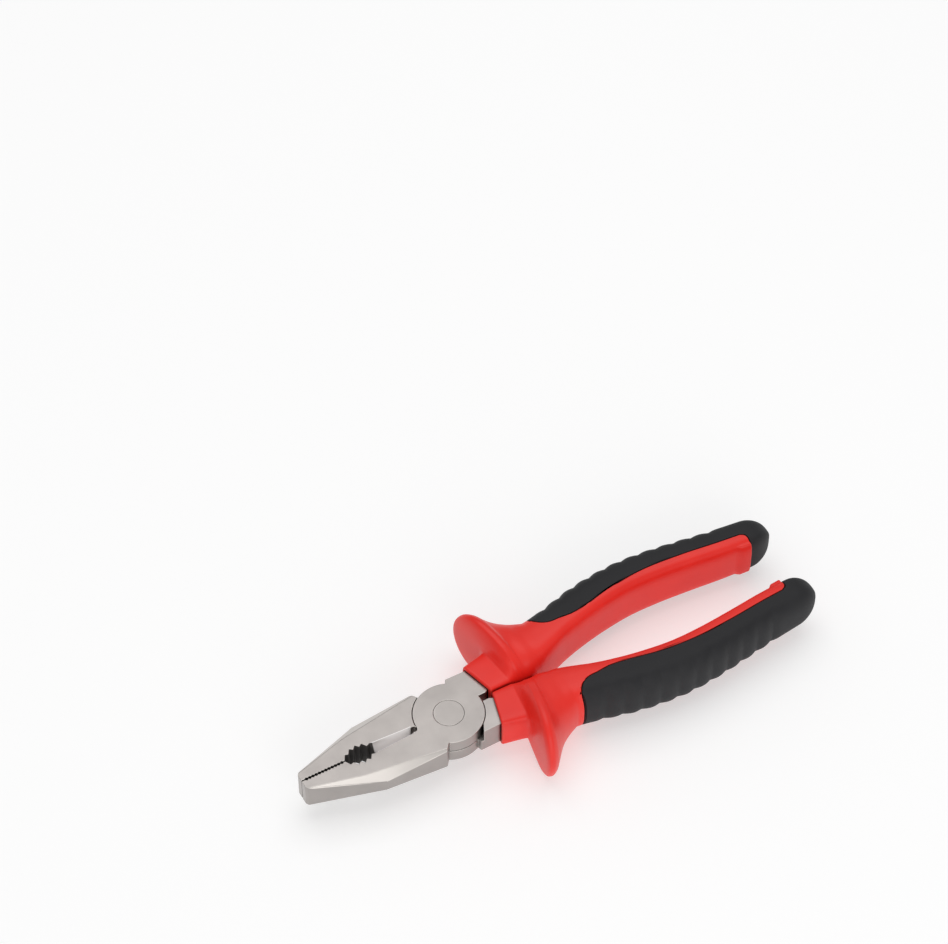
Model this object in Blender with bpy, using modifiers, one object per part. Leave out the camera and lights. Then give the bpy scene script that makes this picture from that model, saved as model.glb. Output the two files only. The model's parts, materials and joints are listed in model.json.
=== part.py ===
"""Lineman pliers, 200 mm long, lying flat: two forged levers on one rivet, each in a two-part handle sleeve.

Run in Blender 4.5: blender --background --python part.py

Sizes are in millimetres and MM turns them to metres. Shapes are drawn round the pivot: X runs from the
jaws (-X) to the handles (+X), and the mid plane of the head is z = 0. An empty on the joint's axis then
lifts the whole object so that it stands on the floor, centred. The rear lever, with its sleeve and grip,
is the front one turned half a turn about X.
"""

import math

import bmesh
import bpy
from mathutils import Matrix, Vector

MM = 0.001

# Driving dimensions
NOSE_X = -58.0
HANDLE_END_X = 142.0
HEAD_THICKNESS = 10.6
DISC_RADIUS = 12.7
RUNNING_GAP = 0.3
GUARD_HALF_HEIGHT = 15.2
GUARD_REACH = 35.0

# Head
HALF_HEAD = HEAD_THICKNESS / 2
HALF_GAP = RUNNING_GAP / 2
SHOULDER_RADIUS = DISC_RADIUS + RUNNING_GAP
KNEE = (-31.5, 13.1)
KNEE_BEVEL = 3.0
SHOULDER = (-8.1, 13.6)
SERRATION_START_X = -56.6
SERRATION_END_X = -41.6
SERRATION_COUNT = 12
SERRATION_DEPTH = 0.45
PIPE_GRIP_START_X = -41.0
PIPE_GRIP_END_X = -29.2
PIPE_GRIP_DEPTH = 3.3
PIPE_GRIP_TEETH = 5
PIPE_TOOTH_HEIGHT = 1.2
CUTTER_END_X = -14.6
CUTTER_FRONT_HALF_WIDTH = 2.1
CUTTER_REAR_HALF_WIDTH = 1.3
CUTTER_EDGE_HEIGHT = 0.35
RELIEF_X = -13.9
RELIEF_RADIUS = 1.1

# Neck and tang
NECK_SIDE = 13.1
NECK_SLOT = 1.3
NECK_END_X = 24.0
TANG_END_X = 106.0
TANG_HALF_WIDTH = 3.6
TANG_END_HALF_WIDTH = 2.4
TANG_HALF_HEIGHT = 4.6
TANG_END_HALF_HEIGHT = 3.2

# Rivet
RIVET_RADIUS = 4.0
RIVET_HEAD_RADIUS = 5.4
RIVET_HEAD_RIM = 0.5
RIVET_TOP = HALF_HEAD - 0.05
RIVET_FIT = 0.05
RIVET_SEGMENTS = 48

# Sleeve and grip
BLOCK_HALF_HEIGHT = 7.1
BLOCK_FRONT_X = 17.2
GRIP_THICKNESS = 2.5
GRIP_FRONT_X = 42.8
GRIP_END_X = 130.8
DOME_START_X = 132.5
RIB_COUNT = 12
RIB_PITCH = 6.9
RIB_START_X = 44.0
RIB_HEIGHT = 0.95
RING_POINTS = 24
SHORTEST_EDGE = 0.03

# Handle stations: x, inner face |y|, outer face |y|, half height
HANDLE_STATIONS = (
    (34.5, 0.4, 20.6, 10.9),
    (43.0, 3.4, 21.3, 10.7),
    (52.0, 7.0, 23.3, 10.6),
    (62.0, 9.7, 25.8, 10.6),
    (72.0, 11.6, 27.3, 10.6),
    (83.0, 12.8, 28.0, 10.5),
    (95.0, 12.6, 27.3, 10.3),
    (108.0, 11.5, 25.6, 10.0),
    (121.0, 10.1, 23.7, 9.6),
    (132.5, 9.4, 22.4, 9.2),
    (142.0, 9.2, 21.6, 8.8),
)
# Edge of the grip on the handle's top face: x, |y|
GRIP_EDGE = (
    (52.0, 13.5),
    (58.0, 13.1),
    (66.0, 14.4),
    (76.0, 16.4),
    (90.0, 17.5),
    (105.0, 16.7),
    (120.0, 15.1),
    (131.0, 14.2),
)
# Neck block and finger guard: x at the inner face, x at the outer face, inner |y|, outer |y|, half height,
# centre |y|, corner power inside and outside
FRONT_STATIONS = (
    (BLOCK_FRONT_X, 13.4, 0.2, 13.9, BLOCK_HALF_HEIGHT - 0.4, 7.3, 9.0, 8.0),
    (BLOCK_FRONT_X + 0.5, 13.8, 0.2, 14.4, BLOCK_HALF_HEIGHT, 7.4, 9.0, 7.0),
    (24.4, 22.6, 0.2, 17.0, BLOCK_HALF_HEIGHT + 0.1, 8.6, 8.0, 5.0),
    (25.5, 22.8, 0.2, 18.6, 7.9, 9.6, 5.0, 4.5),
    (26.6, 22.3, 0.2, 22.0, 9.2, 12.0, 3.6, 3.2),
    (27.7, 21.4, 0.2, 27.5, 11.4, 16.0, 2.8, 2.5),
    (28.8, 20.7, 0.2, GUARD_REACH - 2.4, GUARD_HALF_HEIGHT - 1.7, 20.5, 2.5, 2.1),
    (29.7, 21.2, 0.2, GUARD_REACH - 0.4, GUARD_HALF_HEIGHT - 0.3, 21.5, 2.35, 2.0),
    (30.6, 22.6, 0.2, GUARD_REACH, GUARD_HALF_HEIGHT, 22.0, 2.25, 2.0),
    (31.4, 24.4, 0.2, GUARD_REACH - 0.8, GUARD_HALF_HEIGHT - 0.5, 21.5, 2.3, 2.0),
    (32.2, 26.8, 0.2, 31.6, 13.3, 19.5, 2.4, 2.1),
    (33.4, 29.6, 0.2, 28.4, 12.4, 16.5, 2.5, 2.2),
    (35.2, 33.0, 0.6, 25.2, 11.8, 13.8, 2.7, 2.4),
    (37.6, 36.6, 1.5, 23.0, 11.1, 12.2, 2.9, 2.55),
)
SLEEVE_JOIN_X = 40.5

COLOURS = {
    "steel": ((0.62, 0.58, 0.53), 0.34, 1.0),
    "rivet_steel": ((0.60, 0.57, 0.53), 0.30, 1.0),
    "red_plastic": ((0.80, 0.045, 0.025), 0.32, 0.0),
    "black_rubber": ((0.030, 0.030, 0.032), 0.62, 0.0),
}


# Scene

def empty_scene():
    for item in list(bpy.data.objects):
        bpy.data.objects.remove(item)


def new_collection(name):
    collection = bpy.data.collections.new(name)
    bpy.context.scene.collection.children.link(collection)
    return collection


def new_material(name):
    colour, roughness, metallic = COLOURS[name]
    material = bpy.data.materials.new(name)
    material.use_nodes = True
    shader = material.node_tree.nodes["Principled BSDF"]
    shader.inputs["Base Color"].default_value = (*colour, 1.0)
    shader.inputs["Roughness"].default_value = roughness
    shader.inputs["Metallic"].default_value = metallic
    return material


empty_scene()
PLIERS = new_collection("lineman_pliers")
FORMS = new_collection("forms_and_cutters")


# Building blocks

def add_form(name, mesh):
    """A helper object, which only takes part in Booleans."""
    form = bpy.data.objects.new(name, mesh)
    FORMS.objects.link(form)
    form.hide_render = True
    form.display_type = "WIRE"
    return form


def evaluated_mesh(item):
    graph = bpy.context.evaluated_depsgraph_get()
    return bpy.data.meshes.new_from_object(item.evaluated_get(graph))


def plate(name, outline, low, high):
    """A flat outline given a thickness, from height low to height high."""
    curve = bpy.data.curves.new(name, "CURVE")
    curve.dimensions = "2D"
    curve.fill_mode = "BOTH"
    curve.extrude = (high - low) / 2 * MM
    spline = curve.splines.new("POLY")
    spline.points.add(len(outline) - 1)
    for point, (x, y) in zip(spline.points, outline):
        point.co = (x * MM, y * MM, 0.0, 1.0)
    spline.use_cyclic_u = True
    drawn = bpy.data.objects.new(name + "_outline", curve)
    FORMS.objects.link(drawn)
    mesh = evaluated_mesh(drawn)
    bpy.data.objects.remove(drawn)
    shape = bmesh.new()
    shape.from_mesh(mesh)
    bmesh.ops.remove_doubles(shape, verts=shape.verts, dist=0.00001)
    bmesh.ops.translate(shape, verts=shape.verts, vec=(0.0, 0.0, (low + high) / 2 * MM))
    bmesh.ops.recalc_face_normals(shape, faces=shape.faces)
    shape.to_mesh(mesh)
    shape.free()
    return add_form(name, mesh)


def loft(name, rings):
    """A closed skin through rings that have the same number of points, capped at both ends."""
    shape = bmesh.new()
    loops = [[shape.verts.new(Vector(point) * MM) for point in ring] for ring in rings]
    for first, second in zip(loops, loops[1:]):
        for k in range(len(first)):
            near = (k + 1) % len(first)
            shape.faces.new((first[k], first[near], second[near], second[k]))
    shape.faces.new(loops[0])
    shape.faces.new(loops[-1])
    bmesh.ops.recalc_face_normals(shape, faces=shape.faces)
    mesh = bpy.data.meshes.new(name)
    shape.to_mesh(mesh)
    shape.free()
    return add_form(name, mesh)


def turned(name, profile, segments):
    """A profile of (radius, z) points, listed from the top down, turned about Z."""
    shape = bmesh.new()
    points = [shape.verts.new((radius * MM, 0.0, z * MM)) for radius, z in profile]
    for upper, lower in zip(points, points[1:]):
        shape.edges.new((upper, lower))
    mesh = bpy.data.meshes.new(name)
    shape.to_mesh(mesh)
    shape.free()
    form = add_form(name, mesh)
    screw = form.modifiers.new("turn", "SCREW")
    screw.axis = "Z"
    screw.steps = segments
    screw.render_steps = segments
    screw.use_merge_vertices = True
    screw.merge_threshold = 0.00001
    return form


def cylinder(name, radius, low, high, centre=(0.0, 0.0), segments=64):
    """A primitive cylinder standing on Z."""
    shape = bmesh.new()
    place = Matrix.Translation(Vector((*centre, (low + high) / 2)) * MM)
    bmesh.ops.create_cone(
        shape,
        cap_ends=True,
        segments=segments,
        radius1=radius * MM,
        radius2=radius * MM,
        depth=(high - low) * MM,
        matrix=place,
    )
    mesh = bpy.data.meshes.new(name)
    shape.to_mesh(mesh)
    shape.free()
    return add_form(name, mesh)


def block_beyond(name, corner, second, third, size=60.0):
    """A cube with one face on the plane through three points, lying on the side away from the head."""
    corner, second, third = Vector(corner), Vector(second), Vector(third)
    normal = (second - corner).cross(third - corner).normalized()
    if normal.y > 0:
        normal.negate()
    place = Matrix.Translation((corner + second) / 2 * MM + normal * size / 2 * MM)
    turn = normal.to_track_quat("Z", "Y").to_matrix().to_4x4()
    shape = bmesh.new()
    bmesh.ops.create_cube(shape, size=size * MM, matrix=place @ turn)
    mesh = bpy.data.meshes.new(name)
    shape.to_mesh(mesh)
    shape.free()
    return add_form(name, mesh)


def combine(target, operation, *tools):
    for tool in tools:
        boolean = target.modifiers.new(tool.name, "BOOLEAN")
        boolean.operation = operation
        boolean.solver = "EXACT"
        boolean.object = tool


def smooth_between(stations, x):
    """A smooth curve through stations (x, a, b, ...) read at x: a Hermite cubic in each interval."""
    last = len(stations) - 1
    x = min(max(x, stations[0][0]), stations[last][0])
    k = max(i for i in range(last) if stations[i][0] <= x)
    span = stations[k + 1][0] - stations[k][0]
    t = (x - stations[k][0]) / span
    values = []
    for channel in range(1, len(stations[0])):
        slopes = []
        for end in (k, k + 1):
            before, after = stations[max(end - 1, 0)], stations[min(end + 1, last)]
            slopes.append((after[channel] - before[channel]) / (after[0] - before[0]) * span)
        start, stop = stations[k][channel], stations[k + 1][channel]
        values.append(
            (2 * t**3 - 3 * t**2 + 1) * start
            + (t**3 - 2 * t**2 + t) * slopes[0]
            + (3 * t**2 - 2 * t**3) * stop
            + (t**3 - t**2) * slopes[1]
        )
    return values


# Lever: jaw, lap disc, neck and tang

def bite_line():
    """The jaw's inner edge from the nose to the joint: serrations, pipe grip, then the cutting edge."""
    points = [(NOSE_X, -HALF_GAP)]
    step = (SERRATION_END_X - SERRATION_START_X) / SERRATION_COUNT
    for k in range(SERRATION_COUNT):
        crest = SERRATION_START_X + k * step
        points.append((crest, -HALF_GAP))
        points.append((crest + step / 2, -HALF_GAP - SERRATION_DEPTH))
    points.append((SERRATION_END_X, -HALF_GAP))
    points.append((PIPE_GRIP_START_X, -HALF_GAP))
    length = PIPE_GRIP_END_X - PIPE_GRIP_START_X
    for k in range(1, 2 * PIPE_GRIP_TEETH):
        share = k / (2 * PIPE_GRIP_TEETH)
        depth = PIPE_GRIP_DEPTH * math.sin(math.pi * share) ** 0.7
        tooth = PIPE_TOOTH_HEIGHT / 2 if k % 2 else -PIPE_TOOTH_HEIGHT / 2
        points.append((PIPE_GRIP_START_X + length * share, -HALF_GAP - depth - tooth))
    points.append((PIPE_GRIP_END_X, -HALF_GAP))
    points.append((-4.0, -HALF_GAP))
    return points


def jaw_outline():
    return bite_line() + [
        (-4.0, -9.0),
        (-6.6, -11.7),
        (SHOULDER[0], -SHOULDER[1]),
        (KNEE[0], -KNEE[1]),
        (-55.9, -4.4),
        (-57.3, -3.7),
        (NOSE_X, -2.6),
    ]


def neck_outline(grow=0.0, front_x=3.0):
    return [
        (front_x, NECK_SLOT - grow),
        (15.4, NECK_SLOT - grow),
        (17.6, NECK_SLOT + 1.2 - grow),
        (NECK_END_X + grow, NECK_SLOT + 1.9 - grow),
        (NECK_END_X + grow, 11.8 + grow),
        (18.0, NECK_SIDE - 0.2 + grow),
        (5.8, NECK_SIDE + grow),
        (5.2, 11.5 + grow),
        (front_x, 8.0 + grow),
    ]


def tang_rings(grow=0.0):
    """Rectangular sections that follow the middle of the handle."""
    rings = []
    for x in (NECK_END_X - 2.0, 32.0, 42.0, 52.0, 62.0, 73.0, 84.0, 95.0, TANG_END_X):
        share = (x - NECK_END_X) / (TANG_END_X - NECK_END_X)
        inner, outer, _ = smooth_between(HANDLE_STATIONS, max(x, HANDLE_STATIONS[0][0]))
        blend = min(max((x - NECK_END_X) / 18.0, 0.0), 1.0)
        middle = 7.4 + ((inner + outer) / 2 - 7.4) * blend
        half_width = TANG_HALF_WIDTH + (TANG_END_HALF_WIDTH - TANG_HALF_WIDTH) * share + grow
        half_height = TANG_HALF_HEIGHT + (TANG_END_HALF_HEIGHT - TANG_HALF_HEIGHT) * share + grow
        if x == TANG_END_X:
            x += grow
        rings.append(
            [
                (x, middle - half_width, -half_height),
                (x, middle + half_width, -half_height),
                (x, middle + half_width, half_height),
                (x, middle - half_width, half_height),
            ]
        )
    return rings


def rivet_profile(grow, top):
    """Half section of the rivet, or of its hole: a shank with a countersunk head at each end."""
    rim = RIVET_TOP - RIVET_HEAD_RIM
    slope = RIVET_HEAD_RADIUS - RIVET_RADIUS
    return [
        (0.0, top),
        (RIVET_HEAD_RADIUS + grow, top),
        (RIVET_HEAD_RADIUS + grow, rim),
        (RIVET_RADIUS + grow, rim - slope),
        (RIVET_RADIUS + grow, slope - rim),
        (RIVET_HEAD_RADIUS + grow, -rim),
        (RIVET_HEAD_RADIUS + grow, -top),
        (0.0, -top),
    ]


def cutter_trench():
    """The two ground faces that leave a cutting edge at mid thickness, narrower towards the joint."""
    top = HALF_HEAD + 0.5
    ends = ((PIPE_GRIP_END_X - 1.2, CUTTER_FRONT_HALF_WIDTH), (CUTTER_END_X, CUTTER_REAR_HALF_WIDTH))
    forms = []
    for side, name in ((1, "top"), (-1, "bottom")):
        rings = []
        for x, half_width in ends:
            rise = half_width / (HALF_HEAD - CUTTER_EDGE_HEIGHT)
            far = -HALF_GAP - rise * (top - CUTTER_EDGE_HEIGHT)
            profile = (
                (1.0, CUTTER_EDGE_HEIGHT),
                (-HALF_GAP + 0.01, CUTTER_EDGE_HEIGHT),
                (far, top),
                (1.0, top),
            )
            rings.append([(x, y, side * z) for y, z in profile])
        forms.append(loft("cutter_trench_" + name, rings))
    return forms


def jaw_bevels():
    """Cutters for the ground bevels on the jaw's outer edges, two to a face, meeting at the knee."""
    forms = []
    for side, name in ((1, "top"), (-1, "bottom")):
        nose_edge = (-56.5, -3.7, side * HALF_HEAD)
        knee_edge = (-38.0, -8.5, side * HALF_HEAD)
        shoulder_edge = (SHOULDER[0], -12.7, side * HALF_HEAD)
        knee_side = (KNEE[0], -KNEE[1], side * (HALF_HEAD - KNEE_BEVEL))
        forms.append(block_beyond("front_bevel_" + name, nose_edge, knee_edge, knee_side))
        lift = Vector((0.0, -0.01, 0.0))
        rear_plane = [Vector(point) + lift for point in (knee_edge, shoulder_edge, knee_side)]
        forms.append(block_beyond("rear_bevel_" + name, *rear_plane))
    return forms


def shear_notch():
    """The wire-shear slot: the neck's front corner is cut back where it faces the other lever's disc."""
    outline = [(8.4, 9.7), (6.2, 14.0), (4.0, 14.0), (4.0, 9.7)]
    return plate("shear_notch", outline, -HALF_HEAD - 1, HALF_GAP)


def lever_form():
    """The front lever: its jaw on the -Y side, its disc on top and its tang on the +Y side."""
    lever = plate("lever_form", jaw_outline(), -HALF_HEAD, HALF_HEAD)
    neck = plate("neck_form", neck_outline(), -HALF_HEAD, HALF_HEAD)
    combine(neck, "DIFFERENCE", shear_notch())
    opposite = cylinder("opposite_disc_space", SHOULDER_RADIUS, -HALF_HEAD - 1, HALF_GAP)
    disc = cylinder("disc_form", DISC_RADIUS, HALF_GAP, HALF_HEAD)
    combine(lever, "DIFFERENCE", *jaw_bevels())
    combine(lever, "DIFFERENCE", *cutter_trench())
    relief = cylinder("relief", RELIEF_RADIUS, -7, 7, centre=(RELIEF_X, 0.0), segments=24)
    combine(lever, "DIFFERENCE", relief)
    combine(lever, "UNION", neck)
    combine(lever, "DIFFERENCE", opposite)
    combine(lever, "UNION", disc)
    combine(lever, "UNION", loft("tang_form", tang_rings()))
    hole = turned("rivet_hole", rivet_profile(RIVET_FIT, HALF_HEAD + 0.4), RIVET_SEGMENTS)
    combine(lever, "DIFFERENCE", hole)
    return lever


# Sleeve and grip

def section(x_inner, x_outer, inner, outer, half_height, centre, corner_in, corner_out, count=RING_POINTS):
    """A ring of a handle: two half superellipses that share a centre line, in a plane that may slant."""
    slant = (x_outer - x_inner) / (outer - inner)
    ring = []
    for k in range(count):
        angle = 2 * math.pi * k / count
        across, up = math.cos(angle), math.sin(angle)
        power = 2 / (corner_out if across > 0 else corner_in)
        half_width = outer - centre if across > 0 else centre - inner
        y = centre + math.copysign(abs(across) ** power, across) * half_width
        z = math.copysign(abs(up) ** power, up) * half_height
        ring.append((x_inner + slant * (y - inner), y, z))
    return ring


def dome(x, start_x, end_x):
    """How far a section near the handle's end shrinks, from 1 to almost 0."""
    share = min(max((x - start_x) / (end_x - start_x), 0.0), 0.998)
    return math.sqrt(1 - share**2)


def handle_shape(x, inset=0.0, end_x=HANDLE_END_X):
    """What section() needs for the handle at x, drawn in by an inset."""
    inner, outer, half_height = smooth_between(HANDLE_STATIONS, x)
    shrink = dome(x, DOME_START_X, end_x)
    middle = (inner + outer) / 2
    inner = middle - (middle - inner - inset) * shrink
    outer = middle + (outer - middle - inset) * shrink
    corner_in = 2.9 + 1.6 * min(max((x - HANDLE_STATIONS[0][0]) / 15.0, 0.0), 1.0)
    return (x, x, inner, outer, (half_height - inset) * shrink, middle, corner_in, 2.7)


def handle_section(x, inset=0.0, end_x=HANDLE_END_X, ribbed=False):
    shape = handle_shape(x, inset, end_x)
    outer, middle = shape[3], shape[5]
    ring = section(*shape)
    phase = (x - RIB_START_X) / RIB_PITCH
    if not ribbed or not 0.5 <= phase <= RIB_COUNT - 0.5:
        return ring
    groove = RIB_HEIGHT * (1 - abs(math.sin(math.pi * phase)))
    half_width = outer - middle
    return [(px, py - groove * max((py - middle) / half_width, 0.0) ** 1.2, pz) for px, py, pz in ring]


def spread(start, stop, pitch):
    """Evenly spaced values from start to stop, about pitch apart."""
    count = max(round((stop - start) / pitch), 1)
    return [start + (stop - start) * k / count for k in range(count + 1)]


def dome_stations(start, end):
    """Stations that close up towards the end, a quarter turn in equal angles."""
    shares = (0.25, 0.45, 0.65, 0.82, 0.93, 1.0)
    return [start + (end - start) * math.sin(math.pi / 2 * share) for share in shares]


def front_rings():
    """The neck block, the hollow front of the finger guard, its rim and the fairing behind it."""
    return [section(*station) for station in FRONT_STATIONS]


def handle_rings(start, pitch, inset=0.0, end_x=HANDLE_END_X, ribbed=False):
    stations = spread(start, DOME_START_X, pitch)
    stations += dome_stations(DOME_START_X, end_x)
    return [handle_section(x, inset, end_x, ribbed) for x in stations]


def grip_region(name, grow):
    """The part of the handle that the grip covers, in plan: everything outside its edge line."""
    outline = [(GRIP_FRONT_X - grow, 36.0)]
    corner_x, corner_y = 7.5, 6.5
    for angle in spread(0.0, math.pi / 2, math.pi / 8):
        x = GRIP_FRONT_X + corner_x * (1 - math.cos(angle)) - grow * math.cos(angle)
        y = GRIP_EDGE[0][1] + corner_y * (1 - math.sin(angle)) - grow * math.sin(angle)
        outline.append((x, y))
    for x in spread(GRIP_EDGE[0][0], GRIP_END_X - 2.2, 9.0):
        outline.append((x, smooth_between(GRIP_EDGE, x)[0] - grow))
    outline += [
        (GRIP_END_X - 0.9 - grow, 13.8 - grow),
        (GRIP_END_X - 0.25 - grow, 13.1 - grow),
        (GRIP_END_X - grow, 12.0 - grow),
        (GRIP_END_X - grow, 2.0),
        (HANDLE_END_X + 4.0, 2.0),
        (HANDLE_END_X + 4.0, 36.0),
    ]
    return plate(name, outline, -18.0, 18.0)


def strip_end_ridge():
    """The raised lip that closes the sleeve's inner strip at the grip's end cap."""
    rings = []
    for x, height in ((124.6, -1.2), (127.0, 1.0), (GRIP_END_X - HALF_GAP, 1.2)):
        inner, outer, half_height = smooth_between(HANDLE_STATIONS, x)
        front, back = inner - height, inner + 3.0
        rings.append(section(x, x, front, back, half_height - 1.0, (front + back) / 2, 3.4, 5.0, count=16))
    return loft("strip_end_ridge", rings)


def sleeve_form():
    sleeve = loft("sleeve_form", front_rings() + handle_rings(SLEEVE_JOIN_X, 7.5))
    combine(sleeve, "UNION", strip_end_ridge())
    core = loft("sleeve_core", handle_rings(37.0, 9.0, GRIP_THICKNESS, HANDLE_END_X - GRIP_THICKNESS))
    recess = grip_region("grip_recess", HALF_GAP)
    combine(recess, "DIFFERENCE", core)
    combine(sleeve, "DIFFERENCE", recess)
    neck_socket = plate(
        "neck_socket", neck_outline(RUNNING_GAP, 9.0), -HALF_HEAD - RUNNING_GAP, HALF_HEAD + RUNNING_GAP
    )
    combine(sleeve, "DIFFERENCE", neck_socket, loft("tang_socket", tang_rings(RUNNING_GAP)))
    return sleeve


def grip_form():
    grip = loft("grip_form", handle_rings(38.0, RIB_PITCH / 4, ribbed=True))
    combine(grip, "INTERSECT", grip_region("grip_panel", -HALF_GAP))
    inset = GRIP_THICKNESS - RUNNING_GAP
    room = loft("core_room", handle_rings(36.0, 9.0, inset, HANDLE_END_X - inset))
    combine(grip, "DIFFERENCE", room)
    return grip


# Assembly

def add_part(name, mesh, material, parent, turned_over=False):
    part = bpy.data.objects.new(name, mesh)
    PLIERS.objects.link(part)
    part.parent = parent
    if turned_over:
        part.rotation_euler = (math.pi, 0.0, 0.0)
    if not mesh.materials:
        mesh.materials.append(new_material(material))
    return part


def finished(form):
    """The form's mesh after its Booleans, without slivers, shaded smooth with sharp edges kept."""
    mesh = evaluated_mesh(form)
    shape = bmesh.new()
    shape.from_mesh(mesh)
    bmesh.ops.remove_doubles(shape, verts=shape.verts, dist=SHORTEST_EDGE * MM)
    bmesh.ops.dissolve_degenerate(shape, edges=shape.edges, dist=SHORTEST_EDGE * MM)
    shape.to_mesh(mesh)
    shape.free()
    mesh.materials.clear()
    mesh.shade_smooth()
    mesh.set_sharp_from_angle(angle=math.radians(35))
    return mesh


def joint_axis():
    axis = bpy.data.objects.new("pivot_axis", None)
    PLIERS.objects.link(axis)
    middle_x = (NOSE_X + HANDLE_END_X) / 2
    axis.location = (-middle_x * MM, 0.0, GUARD_HALF_HEIGHT * MM)
    return axis


def main():
    axis = joint_axis()
    lever = finished(lever_form())
    sleeve = finished(sleeve_form())
    grip = finished(grip_form())
    rivet = finished(turned("rivet_form", rivet_profile(0.0, RIVET_TOP), RIVET_SEGMENTS))
    add_part("jaw_lever_front", lever, "steel", axis)
    add_part("jaw_lever_rear", lever, "steel", axis, turned_over=True)
    add_part("joint_rivet", rivet, "rivet_steel", axis)
    add_part("handle_sleeve_right", sleeve, "red_plastic", axis)
    add_part("handle_sleeve_left", sleeve, "red_plastic", axis, turned_over=True)
    add_part("grip_right", grip, "black_rubber", axis)
    add_part("grip_left", grip, "black_rubber", axis, turned_over=True)


main()
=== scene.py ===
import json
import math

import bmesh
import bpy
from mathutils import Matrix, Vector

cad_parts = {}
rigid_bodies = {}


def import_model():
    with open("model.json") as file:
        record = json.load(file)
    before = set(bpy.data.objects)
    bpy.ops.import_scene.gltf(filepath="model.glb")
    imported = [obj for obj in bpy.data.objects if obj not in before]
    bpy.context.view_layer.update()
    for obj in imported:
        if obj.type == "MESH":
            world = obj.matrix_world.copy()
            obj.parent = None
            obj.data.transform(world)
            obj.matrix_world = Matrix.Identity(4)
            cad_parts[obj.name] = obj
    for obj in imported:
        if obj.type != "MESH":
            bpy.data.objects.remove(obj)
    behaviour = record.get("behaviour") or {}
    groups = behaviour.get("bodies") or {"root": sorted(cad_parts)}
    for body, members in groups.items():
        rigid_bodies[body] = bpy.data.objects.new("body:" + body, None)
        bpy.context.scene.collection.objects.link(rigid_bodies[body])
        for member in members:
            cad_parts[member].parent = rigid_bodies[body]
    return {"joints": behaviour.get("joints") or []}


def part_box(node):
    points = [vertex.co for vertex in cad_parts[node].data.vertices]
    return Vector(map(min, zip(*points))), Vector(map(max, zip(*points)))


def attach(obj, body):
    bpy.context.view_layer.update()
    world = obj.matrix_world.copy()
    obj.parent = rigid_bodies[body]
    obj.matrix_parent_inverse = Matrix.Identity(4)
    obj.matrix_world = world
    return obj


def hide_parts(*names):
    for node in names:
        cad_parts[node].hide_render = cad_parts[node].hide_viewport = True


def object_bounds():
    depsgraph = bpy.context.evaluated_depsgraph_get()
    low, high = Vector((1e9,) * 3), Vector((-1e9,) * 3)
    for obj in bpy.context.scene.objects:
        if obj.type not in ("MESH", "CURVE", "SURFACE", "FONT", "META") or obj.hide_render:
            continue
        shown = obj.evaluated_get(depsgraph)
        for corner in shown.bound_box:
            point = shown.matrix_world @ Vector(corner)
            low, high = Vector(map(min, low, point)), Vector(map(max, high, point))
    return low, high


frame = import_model()

# The looks of a pair of lineman pliers. Every CAD node is replaced by a finer piece of the same shape and
# size: forged levers with eased edges, a flush rivet, moulded sleeves and ribbed soft grips.
#
# Sizes are in millimetres and MM turns them to metres. Shapes are drawn round the pivot: X runs from the
# jaws (-X) to the handles (+X), and the mid plane of the head is z = 0. The rear half is the front half
# turned half a turn about X.

MM = 0.001
CAD_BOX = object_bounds()
PIVOT = Vector(frame["joints"][0]["pos_m"])


def reach(node, end, axis):
    """How far a CAD node reaches from the pivot along an axis, in millimetres; end 0 is low, 1 is high."""
    return (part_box(node)[end][axis] - PIVOT[axis]) / MM


# Read from the frame
NOSE_X = reach("jaw_lever_front", 0, 0)
HALF_HEAD = reach("jaw_lever_front", 1, 2)
HANDLE_END_X = reach("grip_right", 1, 0)
GUARD_HALF_HEIGHT = reach("handle_sleeve_right", 1, 2)
GUARD_REACH = reach("handle_sleeve_right", 1, 1)

# Head
DISC_RADIUS = 12.7
RUNNING_GAP = 0.3
HALF_GAP = RUNNING_GAP / 2
SHOULDER_RADIUS = DISC_RADIUS + 0.16
ROUND_SEGMENTS = 192
KNEE = (-31.5, 13.1)
KNEE_BEVEL = 3.0
SHOULDER = (-8.1, 13.6)
SERRATION_START_X = -56.6
SERRATION_END_X = -41.6
SERRATION_COUNT = 12
SERRATION_DEPTH = 0.45
PIPE_GRIP_START_X = -41.0
PIPE_GRIP_END_X = -29.2
PIPE_GRIP_DEPTH = 3.3
PIPE_GRIP_TEETH = 5
PIPE_TOOTH_HEIGHT = 1.2
CUTTER_END_X = -14.6
CUTTER_FRONT_HALF_WIDTH = 2.1
CUTTER_REAR_HALF_WIDTH = 1.3
CUTTER_EDGE_HEIGHT = 0.35
RELIEF_X = -13.9
RELIEF_RADIUS = 1.1
STEEL_EDGE = 0.22

# Neck and tang
NECK_SIDE = 13.1
NECK_SLOT = 1.3
NECK_END_X = 24.0
TANG_END_X = 106.0
TANG_HALF_WIDTH = 3.6
TANG_END_HALF_WIDTH = 2.4
TANG_HALF_HEIGHT = 4.6
TANG_END_HALF_HEIGHT = 3.2

# Rivet
RIVET_RADIUS = 4.0
RIVET_HEAD_RADIUS = 5.4
RIVET_HEAD_RIM = 0.5
RIVET_TOP = HALF_HEAD - 0.05
RIVET_FIT = 0.05
RIVET_EDGE = 0.12

# Sleeve and grip
BLOCK_HALF_HEIGHT = 7.1
BLOCK_FRONT_X = 17.2
GRIP_THICKNESS = 2.5
GRIP_FRONT_X = 42.8
GRIP_END_X = 130.8
DOME_START_X = 132.5
RIB_COUNT = 12
RIB_PITCH = 6.9
RIB_START_X = 44.0
RIB_HEIGHT = 0.95
RING_POINTS = 96
STATION_PITCH = 0.8
MOULDED_EDGE = 0.25
MOULDED_WELD = 0.05
SHARP_STEEL = 28.0
SHARP_MOULDED = 50.0

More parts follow.
